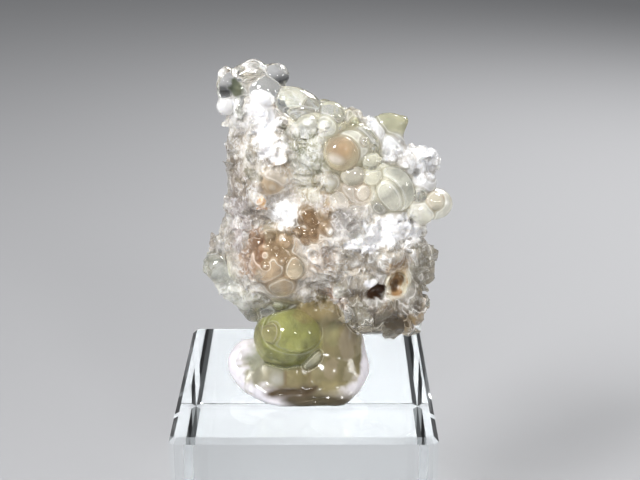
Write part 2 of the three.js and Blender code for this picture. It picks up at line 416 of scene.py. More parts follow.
class Shards:
    """Blocks with flat faces, for splinters of broken glass. A row's turn is the number of its block."""

    COUNT = 40
    FACES = 10
    FACE_PLACES = (0.55, 0.95)  # how near the middle a face may lie, against the block's size

    def __init__(self, seed):
        rng = np.random.default_rng(seed)
        faces = rng.normal(size=(self.COUNT, self.FACES, 3))
        self.faces = faces / np.linalg.norm(faces, axis=2, keepdims=True)
        self.away = rng.uniform(*self.FACE_PLACES, (self.COUNT, self.FACES))

    def __call__(self, points, shard):
        """Distance to a block's surface, negative inside, and the direction away from it"""
        number = int(shard[6])
        faces = self.faces[number]
        heights = (points - shard[:3]) @ faces.T - self.away[number] * shard[3]
        highest = heights.argmax(1)
        return heights[np.arange(len(points)), highest], faces[highest]


class Ripple:
    """Smooth noise from -1 to 1, from a small seeded lattice that repeats"""

    SIZE = 32

    def __init__(self, seed, scale):
        self.lattice = np.random.default_rng(seed).uniform(-1, 1, (self.SIZE,) * 3)
        self.scale = scale

    def __call__(self, points):
        cell = np.floor(points / self.scale).astype(int)
        part = points / self.scale - cell
        part = part * part * (3 - 2 * part)
        total = np.zeros(len(points))
        for corner in np.ndindex(2, 2, 2):
            weight = np.ones(len(points))
            for axis in range(3):
                weight *= part[:, axis] if corner[axis] else 1 - part[:, axis]
            at = (cell + corner) % self.SIZE
            total += weight * self.lattice[at[:, 0], at[:, 1], at[:, 2]]
        return total


class Wrinkles:
    """A field of smooth hollows with sharp crests between them, as in crumpled glass"""

    WARP = 0.6  # how far the pattern is pulled about, against its size
    PULL_SIZE = 1.7  # the size of what pulls it, against its own
    MIDDLE = 0.25  # about the mean of the hollows' depths

    def __init__(self, seed, size, height):
        self.swell = Ripple(seed, size)
        self.pulls = [Ripple(seed + k, size * self.PULL_SIZE) for k in (1, 2, 3)]
        self.size = size
        self.height = height

    def __call__(self, points):
        pull = np.column_stack([ripple(points) for ripple in self.pulls]) * self.WARP * self.size
        return self.height * (np.abs(self.swell(points + pull)) - self.MIDDLE)


class Scallops:
    """A field of bowls of many sizes, which meet in sharp ridges, as the faces of broken glass do"""

    MIDDLE = 0.35  # about the mean of the bowls' depths

    def __init__(self, seed, size, depth, vary):
        random = np.random.default_rng(seed)
        self.middles = random.uniform(0, 1, (Ripple.SIZE,) * 3 + (3,))
        self.starts = random.uniform(0, vary, (Ripple.SIZE,) * 3)
        self.size = size
        self.depth = depth

    def __call__(self, points):
        spot = points / self.size
        cell = np.floor(spot).astype(int)
        lowest = np.full(len(points), np.inf)
        for step in np.ndindex(3, 3, 3):
            at = cell + np.array(step) - 1
            key = tuple((at % Ripple.SIZE).T)
            away = spot - at - self.middles[key]
            lowest = np.minimum(lowest, (away**2).sum(1) + self.starts[key])
        return self.depth * (self.MIDDLE - lowest)


# Noises, each with a seed and a size in millimetres
BACK_PATCHES = Ripple(16, 3.2)  # where the back is smooth
BEAD_PATCHES = Ripple(12, 2.6)  # where beads grow
STAIN_PATCHES = Ripple(14, 0.9)
WASH_EDGES = (Ripple(3, 0.8), Ripple(7, 0.35))
RIM_EDGES = (Ripple(10, 0.9), Ripple(15, 0.4))
SHADE_EDGES = (Ripple(9, 1.2),)
MILK_EDGES = (Ripple(6, 0.9), Ripple(8, 0.4))


def broken_share(points):
    """How broken the glass is, from 0 to 1: the lower right, round to the side"""
    x, y, z = points.T
    left = BROKEN_LEFT + BROKEN_SLANT * np.maximum(BROKEN_KNEE - z, 0)
    top = BROKEN_TOP - BROKEN_FALL * (x - BROKEN_START)
    inside = np.minimum.reduce([x - left, top - z, z - BROKEN_FOOT, BROKEN_BACK - y])
    return fade(inside, 0, BROKEN_FADE)


def worn_share(points):
    """How worn the glass is, from 0 to 1: the column below the head"""
    x, y, z = points.T
    inside = np.minimum.reduce([WORN_RIGHT - x, WORN_TOP - z, z - WORN_FOOT, WORN_BACK - y])
    return fade(inside, 0, WORN_FADE)


def crust_share(points):
    """How crusty the glass is, from 0 to 1: not on the bare places, the foot and patches of the back"""
    share = fade(points[:, 2], CRUST_FOOT, CRUST_FADE)
    for *middle, radius in BARE:
        near = np.flatnonzero((np.abs(points - middle) < radius + BARE_FADE).all(1))
        away = np.linalg.norm(points[near] - middle, axis=1)
        share[near] = np.minimum(share[near], fade(away, radius, BARE_FADE))
    behind = fade(points[:, 1], BACK_START, CRUST_FADE)
    return share * (1 - BACK_SMOOTHNESS * behind * fade(BACK_PATCHES(points), *BACK_PATCH_FADE))


# Soft swells, each with its height
STONE_SWELLS = [(0.05, Ripple(1, 1.7)), (0.02, Ripple(2, 0.6))]
MILK_SWELLS = [(0.45, Ripple(4, 1.8)), (0.18, Ripple(5, 0.7))]


def swelling(points, swells):
    return sum(height * swell(points) for height, swell in swells)


class Unevenness:
    """The stone's soft swells, its crust of crumpled folds, and the bowls of its broken and worn parts"""

    def __init__(self):
        self.crust = [Wrinkles(40, 1.3, 0.5), Wrinkles(50, 0.65, 0.3)]
        self.breaks = [Scallops(21, 1.4, 0.25, 0.3), Scallops(22, 0.7, 0.12, 0.3)]
        self.wear = [Scallops(23, 1.2, 0.15, 0.3), Scallops(24, 0.65, 0.12, 0.3)]

    def __call__(self, points):
        total = swelling(points, STONE_SWELLS)
        broken = broken_share(points)
        worn = worn_share(points)
        crust = crust_share(points) * (1 - broken) * (1 - worn)
        for share, parts in ((broken, self.breaks), (worn, self.wear), (crust, self.crust)):
            spots = np.flatnonzero(share)
            for part in parts:
                total[spots] += share[spots] * part(points[spots])
        return total


class Shape:
    """Groups of lumps that run into each other, less the cuts, above the foot's flat"""

    DEEPEST = -1.6  # a lump counts no more than this far inside itself
    REACH = 0.5  # a lump counts this far outside its largest radius
    SOFT_REACH = 4  # and this many times its softness further
    UNEVEN_REACH = 1.2  # the surface is uneven this far to either side
    GRADIENT_STEP = 0.04
    MOST_CREASE = 1.5

    def __init__(self, groups, cuts, meet, uneven=None):
        self.groups = groups  # each group's softness, its lumps, and how a lump's distance is found
        self.cuts = cuts
        self.meet = meet
        self.uneven = uneven

    def reach(self, lump, soft):
        """How far from its middle a lump still counts"""
        return lump[3:6].max() + self.REACH + self.SOFT_REACH * soft

    def bounds(self):
        lumps = np.vstack([lumps for _, lumps, _ in self.groups])
        reach = lumps[:, 3:6].max(1)[:, None]
        return (lumps[:, :3] - reach).min(0), (lumps[:, :3] + reach).max(0)

    def block(self, axes, lump, soft):
        """The part of a grid that a lump reaches: its slices, its points, and how many there are each way"""
        reach = self.reach(lump, soft)
        spans = [slice(*np.searchsorted(a, (c - reach, c + reach))) for a, c in zip(axes, lump[:3])]
        mesh = np.meshgrid(*[a[s] for a, s in zip(axes, spans)], indexing="ij")
        return tuple(spans), np.column_stack([m.ravel() for m in mesh]), mesh[0].shape

    def on_grid(self, axes):
        """The field on a grid: negative inside"""
        total = np.zeros([len(a) for a in axes])
        for soft, lumps, to_surface in self.groups:
            group = np.full(total.shape, NO_WEIGHT)
            for lump in lumps:
                block, points, shape = self.block(axes, lump, soft)
                distance = np.maximum(to_surface(points, lump)[0], self.DEEPEST)
                group[block] += np.exp(-distance / soft).reshape(shape)
            total += group ** (soft / self.meet)
        field = -self.meet * np.log(total + LEAST)
        if self.uneven:
            close = np.nonzero(np.abs(field) < self.UNEVEN_REACH)
            field[close] += self.uneven(np.column_stack([a[at] for a, at in zip(axes, close)]))
        for cut in self.cuts:
            block, points, shape = self.block(axes, cut, 0)
            distance = to_lump(points, cut)[0].reshape(shape)
            field[block] = CUT_MEET * np.logaddexp(field[block] / CUT_MEET, -distance / CUT_MEET)
        return np.maximum(field, -axes[2])

    def at(self, points, spread=SPREAD):
        """The field, its direction away from the stone, the look, and how deep in a crease, at any points"""
        order = np.argsort(points[:, 2])
        points = points[order]
        field, out, look, crease = self.of_lumps(points, spread)
        if self.uneven:
            field += self.uneven(points)
            for axis, step in enumerate(np.eye(3) * self.GRADIENT_STEP):
                rise = self.uneven(points + step) - self.uneven(points - step)
                out[:, axis] += rise / (2 * self.GRADIENT_STEP)
        for cut in self.cuts:
            near = self.near(points, cut, 0)
            distance, away = to_lump(points[near], cut)
            deeper = np.logaddexp(field[near] / CUT_MEET, -distance / CUT_MEET)
            share = np.exp(-distance / CUT_MEET - deeper)[:, None]
            out[near] = out[near] * (1 - share) - away * share
            field[near] = CUT_MEET * deeper
        out[-points[:, 2] > field] = (0, 0, -1)
        field = np.maximum(field, -points[:, 2])
        out /= np.sqrt((out**2).sum(1))[:, None] + TINY
        back = np.argsort(order)
        return field[back], out[back], look[back], crease[back]

    def of_lumps(self, points, spread):
        """What the lumps alone give at points in order of height: field, direction, look and crease"""
        count = len(points)
        total = np.full(count, LEAST)
        out = np.zeros((count, 3))
        spreads = np.full(count, NO_WEIGHT)
        largest = np.full(count, NO_WEIGHT)
        look = np.zeros((count, self.groups[0][1].shape[1] - 7))
        for soft, lumps, to_surface in self.groups:
            group = np.full(count, NO_WEIGHT)
            group_out = np.zeros((count, 3))
            merged = np.zeros(count)
            for lump in lumps:
                near = self.near(points, lump, soft)
                distance, away = to_surface(points[near], lump)
                distance = np.maximum(distance, self.DEEPEST)
                weight = np.exp(-distance / soft)
                group[near] += weight
                group_out[near] += weight[:, None] * away
                weight = np.exp(-distance / spread)
                spreads[near] += weight
                look[near] += weight[:, None] * lump[7:]
                if soft <= MEET:
                    largest[near] = np.maximum(largest[near], weight)
                else:
                    merged[near] += weight
            largest = np.maximum(largest, merged)
            power = group ** (soft / self.meet)
            total += power
            out += (power / group)[:, None] * group_out
        crease = np.clip(np.log2(spreads / largest), 0, self.MOST_CREASE)
        return -self.meet * np.log(total), out / total[:, None], look / spreads[:, None], crease

    def near(self, points, lump, soft):
        """Which of the points, in order of height, a lump reaches"""
        reach = self.reach(lump, soft)
        first, last = np.searchsorted(points[:, 2], (lump[2] - reach, lump[2] + reach))
        away = np.abs(points[first:last, :2] - lump[:2])
        return first + np.flatnonzero((away < reach).all(1))


def surface(shape, step):
    """Vertices and four-sided faces of a shape's surface, one vertex in each grid cell that it passes"""
    axes = [np.arange(low - 2 * step, high + 2 * step, step) for low, high in zip(*shape.bounds())]
    field = shape.on_grid(axes)
    inside = field < 0
    origin = np.array([a[0] for a in axes])
    size = np.array(field.shape)
    crossings, cells, faces_up = [], [], []
    for axis in range(3):
        at = np.argwhere(np.diff(inside, axis=axis))
        ahead = np.eye(3, dtype=int)[axis]
        low_value = field[tuple(at.T)]
        high_value = field[tuple((at + ahead).T)]
        part = low_value / (low_value - high_value)
        crossings.append(origin + (at + part[:, None] * ahead) * step)
        around = []
        for side, other in ((0, 0), (1, 0), (1, 1), (0, 1)):
            back = np.roll((0, side, other), axis)
            around.append(np.ravel_multi_index((at - back).T, size))
        cells.append(np.column_stack(around))
        faces_up.append(low_value < 0)
    points = np.concatenate(crossings)
    cells = np.concatenate(cells)
    normals = shape.at(points)[1]
    used, vertex = np.unique(cells.ravel(), return_inverse=True)
    vertex = vertex.reshape(cells.shape)
    corner = origin + np.column_stack(np.unravel_index(used, size)) * step
    vertices = best_points(vertex.ravel(), points, normals, corner, step)
    faces = np.where(np.concatenate(faces_up)[:, None], vertex, vertex[:, ::-1])
    return vertices, faces


def best_points(vertex, points, normals, corner, step):
    """In each cell, the point that lies best on the surface's planes where it crosses the cell's edges"""
    count = len(corner)
    points = np.repeat(points, 4, 0)
    normals = np.repeat(normals, 4, 0)
    hits = np.bincount(vertex, minlength=count)
    middle = np.column_stack([np.bincount(vertex, points[:, a], count) for a in range(3)]) / hits[:, None]
    offset = ((points - middle[vertex]) * normals).sum(1)
    matrix = np.empty((count, 3, 3))
    right = np.empty((count, 3))
    for a in range(3):
        right[:, a] = np.bincount(vertex, normals[:, a] * offset, count)
        for b in range(3):
            matrix[:, a, b] = np.bincount(vertex, normals[:, a] * normals[:, b], count)
    matrix += np.eye(3) * MIDDLE_PULL * hits[:, None, None]
    moved = middle + np.linalg.solve(matrix, right[..., None])[..., 0]
    return np.clip(moved, corner, corner + step)


def without_specks(vertices, faces):
    """The surface less its tiny loose parts"""
    part = np.arange(len(vertices))
    while True:
        joined = part.copy()
        np.minimum.at(joined, faces, part[faces].min(1)[:, None])
        joined = joined[joined]
        if (joined == part).all():
            break
        part = joined
    of_face = part[faces[:, 0]]
    faces = faces[np.bincount(of_face)[of_face] >= SPECK]
    kept, faces = np.unique(faces, return_inverse=True)
    return vertices[kept], faces.reshape(-1, 4)


def scatter(points, normals, rng, kind, chance):
    """Small drops of a kind set on a surface where there is a chance of them, none too near another"""
    count, radii, rise, apart = kind
    chosen = np.empty((0, 3))
    sizes = np.empty(0)
    drops = []
    for at in rng.permutation(len(points)):
        if len(drops) >= count:
            break
        if rng.random() > chance[at]:
            continue
        radius = radii[0] + (radii[1] - radii[0]) * rng.random() ** MORE_SMALL
        stands = rise[0] + (rise[1] - rise[0]) * rng.random()
        if len(chosen) and (np.linalg.norm(chosen - points[at], axis=1) < apart * (sizes + radius)).any():
            continue
        chosen = np.vstack([chosen, points[at]])
        sizes = np.append(sizes, radius)
        drops.append((points[at] - normals[at] * radius * (1 - stands), radius))
    return drops


def mesh_object(name, shape, vertices, faces, spread, sharp):
    """A Blender object from a shape's surface, with its normals set, and what its look is made from"""
    field, normals, look, crease = shape.at(vertices, spread)
    vertices = vertices - normals * np.clip(field, -GRID / 2, GRID / 2)[:, None]
    mesh = bpy.data.meshes.new(name)
    mesh.from_pydata((vertices + (0, 0, CUBE_TOP)) * MM, [], faces, shade_flat=False)
    a, b, c, d = (vertices[faces[:, k]] for k in range(4))
    flat = np.cross(c - a, d - b)
    flat /= np.sqrt((flat**2).sum(1))[:, None] + NO_WEIGHT
    corners = normals[faces]
    apart = (corners * flat[:, None, :]).sum(2) < math.cos(math.radians(sharp))
    corners = np.where(apart[..., None], flat[:, None, :], corners)
    mesh.normals_split_custom_set(corners.reshape(-1, 3).tolist())
    piece = bpy.data.objects.new(name, mesh)
    bpy.context.scene.collection.objects.link(piece)
    return piece, vertices, look, crease


def color_attribute(piece, name, values):
    """A point attribute of colour from rows of three"""
    attribute = piece.data.color_attributes.new(name, "FLOAT_COLOR", "POINT")
    attribute.data.foreach_set("color", np.insert(values, 3, 1, axis=1).astype(np.float32).ravel())


def float_attribute(piece, name, values):
    piece.data.attributes.new(name, "FLOAT", "POINT").data.foreach_set("value", values.astype(np.float32))


# Washes of colour, given as lumps are, and how strong each is; a few are painted shade or a painted
# highlight, as marked
WASHES = [
    (-4.8, -3, 24, 1.7, 3, 2.3, (0.7, 0.67, 0.58, 0.25, 0.06), 0.6),
    (-6, -2, 19, 1.2, 3, 5, (0.72, 0.67, 0.69, 0.25, 0.06), 0.7),
    (-5.9, -2, 21.9, 1.3, 3, 2.2, (0.52, 0.46, 0.37, 0.25, 0.06), 0.75),
    (1, -4, 21.4, 2, 3, 1.5, (0.8, 0.76, 0.6, 0.2, 0.05), 0.6),
    (3.5, -4, 18.3, 2.2, 3, 1.6, (0.72, 0.71, 0.73, 0.2, 0.05), 0.6),
    (5.2, -4, 14.4, 2.2, 3, 1.7, (0.97, 0.94, 0.9, 0.5, 0.05), 0.8),
    (8.5, -4, 14.9, 2.6, 3, 1.3, (0.97, 0.94, 0.9, 0.5, 0.05), 0.8),
    (11.5, -2, 12.6, 1.6, 4, 3, (0.52, 0.48, 0.39, 0.15, 0.05), 0.7),
    (7, -3, 8.2, 3.4, 4, 1.8, (0.46, 0.42, 0.33, 0.2, 0.05), 0.7),
    (-2.6, -5, 15, 2.9, 3, 3.4, (0.8, 0.7, 0.54, 0.2, 0.04), 0.55),
    (-4.5, -4.5, 14.8, 0.7, 2.5, 2, 22, (0.62, 0.38, 0.22, 0.35, 0.05), 0.85),
    (0.8, -5, 18.1, 1.8, 2.5, 1.9, (0.74, 0.61, 0.44, 0.2, 0.04), 0.5),
    (2, -5, 19.5, 0.8, 2.5, 2, (0.84, 0.72, 0.55, 0.2, 0.06), 0.7),
    (-2.6, -4, 22.4, 1.9, 2.5, 2, (0.97, 0.89, 0.76, 0.35, 0.06), 0.75),
    (-5, -4, 15, 1.2, 2.5, 2.8, 20, (0.6, 0.44, 0.32, 0.4, 0.06), 0.9),
    (1.8, -5.5, 15, 1.6, 2.5, 1.5, (0.94, 0.86, 0.78, 0.3, 0.06), 0.8),
    (3.1, -4, 10.6, 1.5, 3, 1, 20, (0.85, 0.68, 0.56, 0.4, 0.12), 0.8),
    (9.7, -2.5, 8.3, 2.2, 3.5, 2.2, (0.3, 0.215, 0.11, 0.45, 0.06), 0.95),
    (2.6, -3, 9, 2.4, 3, 1, 10, (0.56, 0.46, 0.27, 0.35, 0.08), 0.8),
    (0.8, -3.6, 8.8, 2.2, 2, 0.9, -10, (0.54, 0.44, 0.24, 0.3, 0.06), 0.8),
    (4.2, -3.4, 5.4, 0.9, 2.5, 1.7, (0.55, 0.47, 0.35, 0.4, 0.16), 0.8),
    (2.6, -4.6, 3.4, 0.7, 2, 1.1, 20, (0.53, 0.44, 0.31, 0.4, 0.16), 0.7),
    (2.6, -3.6, 6.6, 0.8, 2.5, 1.3, (0.52, 0.51, 0.29, 0.3, 0.12), 0.7),
    (4.4, -4.2, 2.6, 0.9, 2, 0.8, 30, (0.61, 0.54, 0.39, 0.4, 0.16), 0.7),
    (-4.5, -3, 6, 0.8, 2, 1.6, 15, (0.58, 0.53, 0.36, 0.3, 0.05), 0.75),
    (-5, -2.2, 3, 0.95, 1.4, 0.75, 25, (0.48, 0.49, 0.38, 0.4, 0.08), 0.9),
    (-3.9, -4.5, 20.15, 0.6, 1.5, 0.5, 10, (0.8, 0.47, 0.2, 0.9, 0.1), 1),
    (-3.8, -4.5, 19.5, 0.85, 1.5, 0.3, 5, (0.86, 0.6, 0.38, 0.8, 0.1), 0.8),
    (-2.8, -2.5, 28.6, 0.5, 1.5, 0.4, 30, (0.85, 0.7, 0.58, 0.6, 0.1), 0.8),
    (-2.2, -3, 27.3, 0.9, 1.5, 0.45, 50, (0.26, 0.27, 0.18, 0.3, 0.04), 0.85),
    (-0.9, -3.6, 25.3, 1, 1.5, 0.4, 30, (0.26, 0.27, 0.18, 0.3, 0.04), 0.85),
    (-4, -2.6, 29, 1.1, 2.2, 1.4, 30, PORCELAIN, 1),
    (-3.4, -2.6, 27, 1.25, 2.2, 2, 25, PORCELAIN, 1),
    (-2.3, -3.4, 25, 1, 2.2, 1.3, 30, PORCELAIN, 0.85),
    # The white patches at x -1.9 and 8.2 are white matter, partly a painted highlight where the glass shines
    (-1.9, -5, 19.1, 1.5, 2.2, 1.5, -30, PORCELAIN, 1),
    (8.2, -4, 17.3, 3, 2.8, 1.35, 6, PORCELAIN, 1),
    (5.4, -5, 16.4, 2, 2.6, 0.9, 5, PORCELAIN, 1),
    (10.2, -2.5, 16.9, 1.3, 2.5, 1.3, PORCELAIN, 0.7),
    # Near-black brown, painted shade deep in the pit
    (6.9, -5, 11.5, 1.2, 2.4, 0.8, 8, (0.07, 0.035, 0.018, 0.97, 0.3), 1),
    (8.7, -4.6, 13.7, 1.5, 2, 1, (0.6, 0.42, 0.22, 0.35, 0.06), 0.85),
    (8.8, -5, 12.1, 0.95, 2, 1.42, 12, (0.34, 0.2, 0.09, 0.8, 0.2), 1),
    # Painted shade deep in the oval cavity
    (8.6, -4.2, 11.8, 0.5, 1.4, 0.6, 20, (0.1, 0.05, 0.02, 0.9, 0.3), 0.9),
    (6.3, -5.2, 12.6, 0.8, 1.6, 0.45, PORCELAIN, 1),
    (-3.2, -3.4, 25.4, 1, 2.2, 1.4, 25, PORCELAIN, 0.9),
    # Near-black painted shade in the head's pocket, where the clear glass shows the dark beyond
    (-6.1, -1.8, 30.4, 0.85, 1.8, 0.95, (0.1, 0.115, 0.07, 0.5, 0.04), 1),
    (-5.8, -2.2, 28.2, 0.45, 1.2, 0.9, (0.26, 0.27, 0.2, 0.3, 0.04), 0.8),
    (-4.8, -3.5, 22.7, 1.05, 2.5, 0.6, 20, (0.34, 0.33, 0.23, 0.2, 0.04), 0.8),
    (-5.85, -3, 21.9, 0.65, 2.5, 0.35, (0.28, 0.24, 0.15, 0.2, 0.04), 0.85),
    (-5.1, -3, 24.4, 0.35, 2.5, 0.5, (0.32, 0.32, 0.26, 0.2, 0.04), 0.8),
    (-5.4, -3, 18.6, 0.65, 2.5, 0.4, -15, (0.3, 0.28, 0.22, 0.2, 0.04), 0.8),
    (0.1, -3.4, 25.8, 1.6, 2.2, 1.1, -30, (0.55, 0.57, 0.42, 0.1, 0.03), 0.6),
    (1.2, -3.8, 24, 1, 2, 1.1, (0.6, 0.6, 0.43, 0.15, 0.03), 0.6),
    (2.4, 5, 18.6, 3.6, 3, 3.2, (0.9, 0.9, 0.76, 0.1, 0.03), 0.8),
    (-3.4, 4.5, 21.5, 2.4, 3, 4, (0.96, 0.97, 0.96, 0.3, 0.03), 0.7),
    (7.6, 4.5, 11.5, 2.6, 3, 3.4, (0.88, 0.8, 0.64, 0.12, 0.03), 0.8),
    (-2.6, 4.5, 12.6, 3, 3, 2.2, (0.93, 0.86, 0.72, 0.12, 0.03), 0.7),
]

# Washes that fade out softly; some are painted shade or a painted highlight, as marked
SHADES = [
    # The honey dome's brown: partly its own colour, partly painted shade on its upper right
    (3.7, -4.9, 25.3, 1.5, 1.6, 1.4, (0.74, 0.52, 0.33, 0.35, 0.04), 1),
    # A painted highlight on the honey dome's lower left
    (2.9, -5.2, 24.6, 1, 1.3, 0.7, 10, (0.95, 0.9, 0.88, 0.4, 0.03), 0.9),
    # Dark olive-brown over the foot's low front
    (1.2, -5.6, 0.5, 4, 1.9, 1.3, (0.1, 0.08, 0.045, 0.5, 0.1), 0.95),
    (-2.85, -5.2, 2.4, 1.1, 1.4, 0.95, (0.66, 0.66, 0.62, 0.5, 0.1), 0.9),
    # Partly a brown stain, partly painted shadow in the groove over the front rim
    (-1.3, -5.4, 1.2, 2.9, 2.1, 1.05, -3, (0.11, 0.08, 0.05, 0.8, 0.2), 1),
    (0.8, -5.4, 1.45, 0.9, 1.6, 0.45, -30, (0.1, 0.07, 0.04, 0.8, 0.2), 1),
    (-5, -2.6, 1.3, 1.4, 1.5, 0.9, 25, (0.84, 0.8, 0.83, 0.9, 0.15), 1),
    # Painted shade: dark lines down the creases beside the foot's blocks
    (-1.85, -5, 2.6, 0.26, 1.2, 0.9, (0.26, 0.2, 0.12, 0.5, 0.2), 0.9),
    (0.5, -5, 2.6, 0.3, 1.2, 1.1, (0.3, 0.24, 0.14, 0.5, 0.2), 0.8),
]
HONEY_ZONES = [(0.9, 17.9, 1.9, 1.7), (-2.9, 15.6, 2.2, 1.7)]  # where ringed drops crowd: x, z and two radii
PLAIN_PLACE = (0.6, -3.4, 8.9, 2.1)  # where the green dome runs into the stem with no painted highlight outline
WASH_FADE = 0.25  # how wide a wash's edge is, against its smaller radius
WASH_RAGGED = 0.3
SHADE_FADE = 0.8
RIM_TOP = 6.5  # the rim's white stays below this height
RIM_FADE = (1.02, 1.35)  # how far from the rim's middle line its white starts to fade, and has gone
RIM_RAGGED = 0.2

STAIN = (0.24, 0.17, 0.10, 0.35, 0.05)
STAIN_SHARE = 0.6
STAIN_FADE = (0.18, 0.2)  # where in its noise a stain starts, and how soft its edge is
WORN_STAIN = 0.9  # how stained the worn column is, against the broken part

LIGHT_RANGE = (0.15, 0.4)  # glass this dark shows no crust, and from this much lighter all of it
CREST_RANGE = 0.4  # the height from the crust's hollows to its crests
BROKEN_BARENESS = 0.45  # how much less crust shows on the broken part
SMOOTH_OUTLINE_HIGHLIGHT = 0.22  # how strong the painted highlight outlines are on smooth glass,
BROKEN_OUTLINE_HIGHLIGHT = 0.32  # on the broken part,
RINGED_OUTLINE_HIGHLIGHT = 0.2  # and how much stronger among ringed drops

# Kinds of small drop or splinter: how many at most, the least and greatest radius, the least and greatest
# share of it that stands out, and how near to one another they come, against their radii
BACK_DROPS = (60, (0.75, 1.7), (0.4, 0.75), 0.75)
FILLING_DROPS = (30, (0.5, 0.9), (0.2, 0.4), 0.7)
BEADS = (200, (0.26, 0.5), (0.35, 0.7), 0.75)
HONEY_BEADS = (14, (0.3, 0.5), (0.4, 0.7), 0.9)
SPLINTERS = (100, (0.55, 1.1), (0.0, 0.35), 0.6)
CHIPS = (110, (0.35, 0.6), (0.1, 0.5), 0.6)
WORN_CHIPS = (45, (0.4, 0.8), (0.0, 0.2), 0.7)
MORE_SMALL = 1.6  # above 1, small ones outnumber large ones
LOWEST_DROP = 10.0  # small drops stay above this height
FRONT_NORMAL = 0.35  # a surface that faces back no more than this counts as the front
PATCHY = 0.05  # beads keep to where their noise is above this
PIT_MARGIN = 1.0  # how far splinters keep from the pits
BROKEN_ENOUGH = 0.3  # splinters lie where the glass is more broken than this,
WORN_ENOUGH = 0.5  # or more worn than this
DROP_SEED = 11
HONEY_SEED = 13
SHARD_SEED = 31
LOW_SHARDS = (ROUGH, SMOKE, HAZY, CLEAR, OLIVE, BROWN, SMOKE)
HIGH_SHARDS = (ROUGH, HAZY, CLEAR, CLEAR, OLIVE)
SHARD_CHANGE = 13.0  # above this height the shards have no smoky or brown ones among them


def is_bare(points):
    """Where small drops are kept off"""
    return np.any([np.linalg.norm(points - middle, axis=1) < radius for *middle, radius in BARE], axis=0)


def in_honey(points):
    """Where ringed drops crowd, in front"""
    x, y, z = points.T
    zones = [((x - cx) / wide) ** 2 + ((z - cz) / high) ** 2 < 1 for cx, cz, wide, high in HONEY_ZONES]
    return np.any(zones, axis=0) & (y < 0)


def small_drops(points, normals):
    """Drops that cover the stone between the large ones, finer in front than behind"""
    rng = np.random.default_rng(DROP_SEED)
    front = normals[:, 1] < FRONT_NORMAL
    open_place = (points[:, 2] > LOWEST_DROP) & ~is_bare(points) & (broken_share(points) == 0)
    patchy = open_place & (BEAD_PATCHES(points) > PATCHY)
    found = []
    kinds = ((BACK_DROPS, open_place & ~front), (FILLING_DROPS, open_place & front), (BEADS, patchy))
    for kind, chance in kinds:
        found += scatter(points, normals, rng, kind, chance)
    return found


def honey_drops(points, normals):
    """Amber drops that crowd in the honey-coloured places in front, as lumps"""
    rng = np.random.default_rng(HONEY_SEED)
    found = scatter(points, normals, rng, HONEY_BEADS, in_honey(points) & (normals[:, 1] < 0))
    return [(*centre, radius, AMBER) for centre, radius in found]


def shards(points, normals):
    """Splinters over the broken lower right, and smaller ones down the worn column on the left"""
    rng = np.random.default_rng(SHARD_SEED)
    broken = broken_share(points) > BROKEN_ENOUGH
    for x, _, z, _, _, reach, *_ in PITS[:2]:
        broken &= (np.hypot(points[:, 0] - x, points[:, 2] - z) > reach + PIT_MARGIN) | (points[:, 1] > 0)
    worn = worn_share(points) > WORN_ENOUGH
    found = []
    for kind, chance in ((SPLINTERS, broken), (CHIPS, broken), (WORN_CHIPS, worn)):
        found += scatter(points, normals, rng, kind, chance)
    blocks = []
    for centre, size in found:
        number = rng.integers(Shards.COUNT)
        looks = LOW_SHARDS if centre[2] < SHARD_CHANGE else HIGH_SHARDS
        look = looks[rng.integers(len(looks))] if centre[0] > 0 else ROUGH
        blocks.append([*centre, size, size, size, number, *look])
    return np.array(blocks)


def washed(points, look, washes, ripples, soft=WASH_FADE):
    """The look with the washes laid over it, their edges ragged"""
    wander = sum(ripple(points) for ripple in ripples)
    for *lump, strength in washes:
        lump = rows([lump])[0]
        distance = to_lump(points, lump)[0] / min(lump[3], lump[5])
        amount = fade(WASH_RAGGED * wander - distance, 0, soft)[:, None] * strength
        look = look * (1 - amount) + lump[7:] * amount
    return look


def stained(points, look):
    """The look with dark patches laid over the broken and the worn glass"""
    uneven = np.maximum(broken_share(points), WORN_STAIN * worn_share(points))
    share = STAIN_SHARE * uneven * fade(STAIN_PATCHES(points), *STAIN_FADE)
    return look + (np.array(STAIN) - look) * share[:, None]


def with_rim(points, look):
    """The look with the rim's white laid over it, which fades inwards and towards the rim's ends"""
    low = np.flatnonzero(points[:, 2] < RIM_TOP)
    wander = sum(RIM_RAGGED * ripple(points[low]) for ripple in RIM_EDGES)
    share = np.zeros(len(low))
    for *middle, _, white in rim_beads():
        away = np.linalg.norm(points[low] - middle, axis=1) + wander
        share = np.maximum(share, white * fade(RIM_FADE[1] - away, 0, RIM_FADE[1] - RIM_FADE[0]))
    look[low] += (np.array(RIM_WHITE) - look[low]) * share[:, None]
    return look


